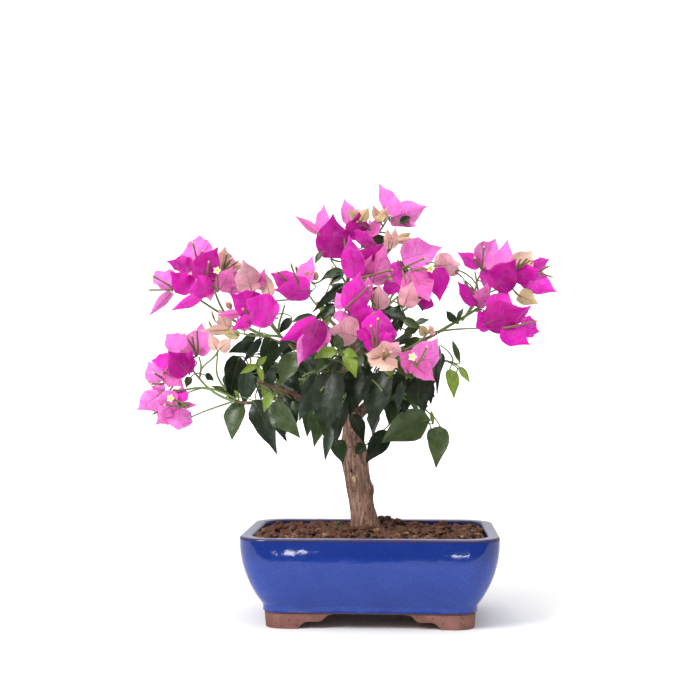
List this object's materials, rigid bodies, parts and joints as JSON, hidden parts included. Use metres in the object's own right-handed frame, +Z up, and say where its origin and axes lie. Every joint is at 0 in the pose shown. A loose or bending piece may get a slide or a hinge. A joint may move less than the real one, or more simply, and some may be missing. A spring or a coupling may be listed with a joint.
{
  "type": "flowering bonsai tree in a pot",
  "caption": "Bougainvillea bonsai with a leaning trunk, hanging leaves and sprays of magenta bracts, in a blue glazed oblong pot that stands on cloud-shaped clay feet.",
  "frame": {"origin": "centre of the whole plant's box, at the level of the pot's feet", "axes": "+Z up the trunk, +X to the right of the pot's long front, +Y away from the viewer, from the pot's front to its back"},
  "size_m": [0.3812, 0.2618, 0.396],
  "materials": {
    "glaze": "glossy cobalt glaze",
    "clay": "unglazed brown clay",
    "soil": "crumbly brown potting soil",
    "bark": "furrowed grey-brown bark",
    "leaf": "glossy green leaf",
    "bract": "papery magenta bract"
  },
  "bodies": {
    "root": {"pot_body": "glaze", "pot_foot_front_left": "clay", "pot_foot_front_right": "clay", "pot_foot_back_left": "clay", "pot_foot_back_right": "clay", "soil": "soil", "trunk": "bark", "bough_foliage_left": "bark", "bough_foliage_right": "bark", "bough_foliage_front": "bark", "bough_foliage_back_left": "bark", "bough_foliage_back_right": "bark", "bough_foliage_back": "bark", "bough_blossom_top": "bark", "bough_blossom_left_high": "bark", "bough_blossom_left_mid": "bark", "bough_blossom_left_low": "bark", "bough_blossom_centre": "bark", "bough_blossom_right": "bark", "bough_blossom_front_left": "bark", "bough_blossom_front_right": "bark", "bough_blossom_back_left": "bark", "bough_blossom_back_right": "bark", "bough_sprig_right": "bark", "foliage_left": "leaf", "foliage_right": "leaf", "foliage_front": "leaf", "foliage_back_left": "leaf", "foliage_back_right": "leaf", "foliage_back": "leaf", "blossom_top": "bract", "blossom_left_high": "bract", "blossom_left_mid": "bract", "blossom_left_low": "bract", "blossom_centre": "bract", "blossom_right": "bract", "blossom_front_left": "bract", "blossom_front_right": "bract", "blossom_back_left": "bract", "blossom_back_right": "bract", "sprig_right": "leaf"}
  },
  "joints": []
}
